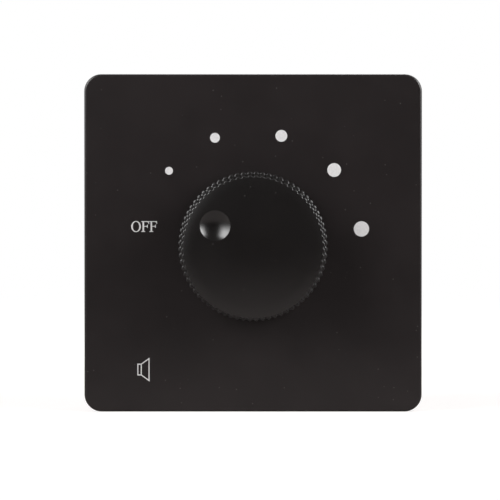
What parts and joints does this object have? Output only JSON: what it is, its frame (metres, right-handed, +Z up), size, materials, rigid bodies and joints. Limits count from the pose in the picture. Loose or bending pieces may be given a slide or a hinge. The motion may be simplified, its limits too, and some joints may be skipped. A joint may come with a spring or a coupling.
{
  "type": "wall volume control",
  "caption": "Black square wall plate with a fluted rotary volume knob, and behind it a stepped switch, line transformer and screw terminals that set a loudspeaker's level.",
  "frame": {"origin": "on the wall plane, midway between the two fixing slots", "axes": "+Z up the wall, -Y out of the wall to the viewer, +X to the viewer's right"},
  "size_m": [0.086, 0.0654, 0.086],
  "materials": {
    "plate_black": "matte, fine grain",
    "knob_black": "satin",
    "frame_grey": "matte",
    "cast_zinc": "bead blasted",
    "steel": "zinc plated",
    "brass_nut": "nickel plated",
    "phenolic": "satin",
    "housing_green": "satin",
    "nylon": "satin",
    "contact_silver": "silver plated",
    "bronze": "rolled",
    "board_green": "solder mask",
    "bobbin_blue": "satin",
    "copper": "enamelled wire",
    "tape_yellow": "polyester film",
    "lamination": "varnished",
    "terminal_green": "satin"
  },
  "bodies": {
    "base": {"front_plate": "plate_black", "mounting_frame": "frame_grey", "switch_cover": "cast_zinc", "bush_washer": "steel", "bush_nut": "brass_nut", "switch_housing": "housing_green", "detent_spring": "steel", "contact_wafer": "phenolic", "step_contacts": "contact_silver", "common_contact": "contact_silver", "tie_screws": "steel", "circuit_board": "board_green", "board_screws": "steel", "bobbin": "bobbin_blue", "bobbin_pins": "contact_silver", "winding": "copper", "winding_tape": "tape_yellow", "core_e_stack": "lamination", "core_i_stack": "lamination", "core_bolts": "steel", "core_spacers": "steel", "core_nuts": "steel", "terminal_housing": "terminal_green", "terminal_tongues": "contact_silver"},
    "dial": {"knob": "knob_black", "knob_leaf": "steel", "switch_shaft": "steel", "shaft_ring": "steel", "detent_wheel": "nylon", "contact_rotor": "nylon", "wiper": "bronze"},
    "screw_1": {"terminal_screw_1": "steel"},
    "clamp_1": {"terminal_clamp_1": "contact_silver"},
    "screw_2": {"terminal_screw_2": "steel"},
    "clamp_2": {"terminal_clamp_2": "contact_silver"},
    "screw_3": {"terminal_screw_3": "steel"},
    "clamp_3": {"terminal_clamp_3": "contact_silver"},
    "screw_4": {"terminal_screw_4": "steel"},
    "clamp_4": {"terminal_clamp_4": "contact_silver"}
  },
  "joints": [
    {"name": "knob_turn", "type": "hinge", "parent": "base", "child": "dial", "pos_m": [0, -0.015, -0.0008], "axis": [0, 1, 0], "range_deg": [0, 150], "deforming": ["detent_spring"]},
    {"name": "screw_1_turn", "type": "hinge", "parent": "base", "child": "screw_1", "pos_m": [-0.01125, 0.026, -0.026], "axis": [0, -1, 0], "range_deg": [0, 1080]},
    {"name": "clamp_1_rise", "type": "slide", "parent": "base", "child": "clamp_1", "axis": [0, 1, 0], "range_m": [0, 0.0015]},
    {"name": "screw_2_turn", "type": "hinge", "parent": "base", "child": "screw_2", "pos_m": [-0.00375, 0.026, -0.026], "axis": [0, -1, 0], "range_deg": [0, 1080]},
    {"name": "clamp_2_rise", "type": "slide", "parent": "base", "child": "clamp_2", "axis": [0, 1, 0], "range_m": [0, 0.0015]},
    {"name": "screw_3_turn", "type": "hinge", "parent": "base", "child": "screw_3", "pos_m": [0.00375, 0.026, -0.026], "axis": [0, -1, 0], "range_deg": [0, 1080]},
    {"name": "clamp_3_rise", "type": "slide", "parent": "base", "child": "clamp_3", "axis": [0, 1, 0], "range_m": [0, 0.0015]},
    {"name": "screw_4_turn", "type": "hinge", "parent": "base", "child": "screw_4", "pos_m": [0.01125, 0.026, -0.026], "axis": [0, -1, 0], "range_deg": [0, 1080]},
    {"name": "clamp_4_rise", "type": "slide", "parent": "base", "child": "clamp_4", "axis": [0, 1, 0], "range_m": [0, 0.0015]}
  ],
  "couplings": [
    {"joint": "screw_1_turn", "follows": "clamp_1_rise", "rad_per_m": 12566},
    {"joint": "screw_2_turn", "follows": "clamp_2_rise", "rad_per_m": 12566},
    {"joint": "screw_3_turn", "follows": "clamp_3_rise", "rad_per_m": 12566},
    {"joint": "screw_4_turn", "follows": "clamp_4_rise", "rad_per_m": 12566}
  ]
}
